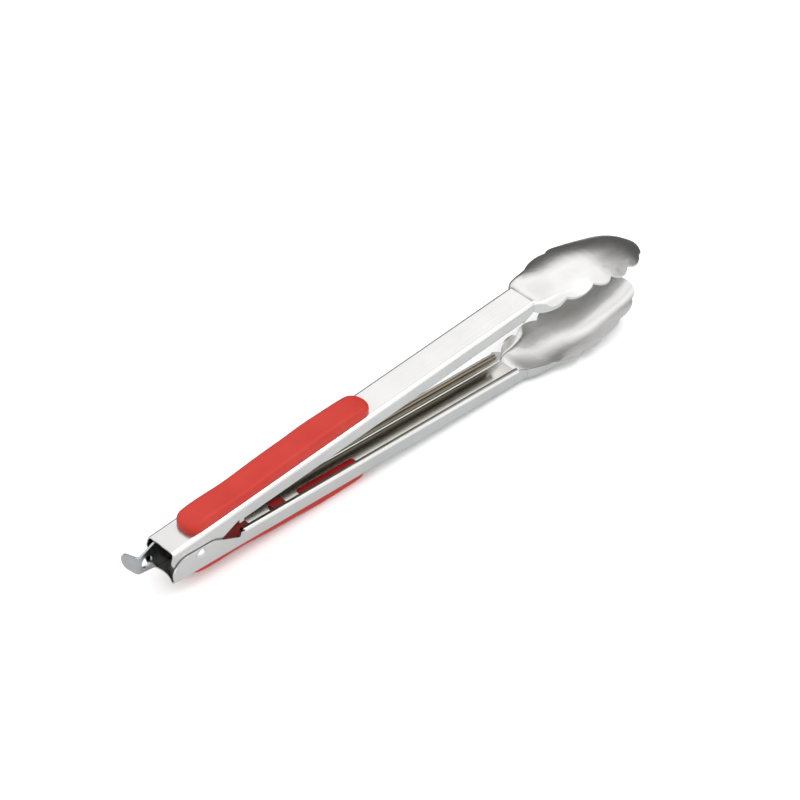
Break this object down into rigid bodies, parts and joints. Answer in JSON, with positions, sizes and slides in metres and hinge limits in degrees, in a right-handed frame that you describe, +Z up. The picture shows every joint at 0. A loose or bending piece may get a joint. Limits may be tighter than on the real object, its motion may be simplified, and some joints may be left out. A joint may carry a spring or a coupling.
{
  "type": "spring loaded kitchen tongs",
  "caption": "Spring loaded kitchen tongs: two folded steel arms on a rivet hinge, with scalloped spoon heads, soft grips and a sliding wedge lock with hanging hole.",
  "frame": {"origin": "on the table, under the middle of the locked tongs' box", "axes": "+X from the hinge to the heads, +Y across the arms along the hinge axis, +Z up, the way the upper arm opens"},
  "size_m": [0.3108, 0.0342, 0.0494],
  "materials": {
    "steel": "satin",
    "plate_steel": "satin",
    "rivet_steel": "satin",
    "spring_steel": "drawn wire",
    "grip": "soft satin",
    "insert": "moulded"
  },
  "bodies": {
    "root": {"lower_arm": "steel", "lower_grip": "grip", "lower_grip_insert": "insert", "hinge_rivet": "rivet_steel", "spring_bush": "rivet_steel", "plate_spacer": "rivet_steel", "torsion_spring": "spring_steel"},
    "upper": {"upper_arm": "steel", "upper_grip": "grip", "upper_grip_insert": "insert"},
    "lock": {"lock_plate": "plate_steel"}
  },
  "joints": [
    {"name": "arm_hinge", "type": "hinge", "parent": "root", "child": "upper", "pos_m": [-0.13069, 0, 0.01842], "axis": [0, -1, 0], "range_deg": [-4.3, 13], "stiffness_Nm_per_rad": 0.5, "springref_deg": 5.73, "deforming": ["torsion_spring"]},
    {"name": "lock_slide", "type": "slide", "parent": "root", "child": "lock", "axis": [0.9993, 0, -0.0367], "range_m": [-0.00199, 0.00601]}
  ],
  "couplings": [
    {"joint": "lock_slide", "follows": "arm_hinge", "m_per_rad": 0.026444}
  ]
}
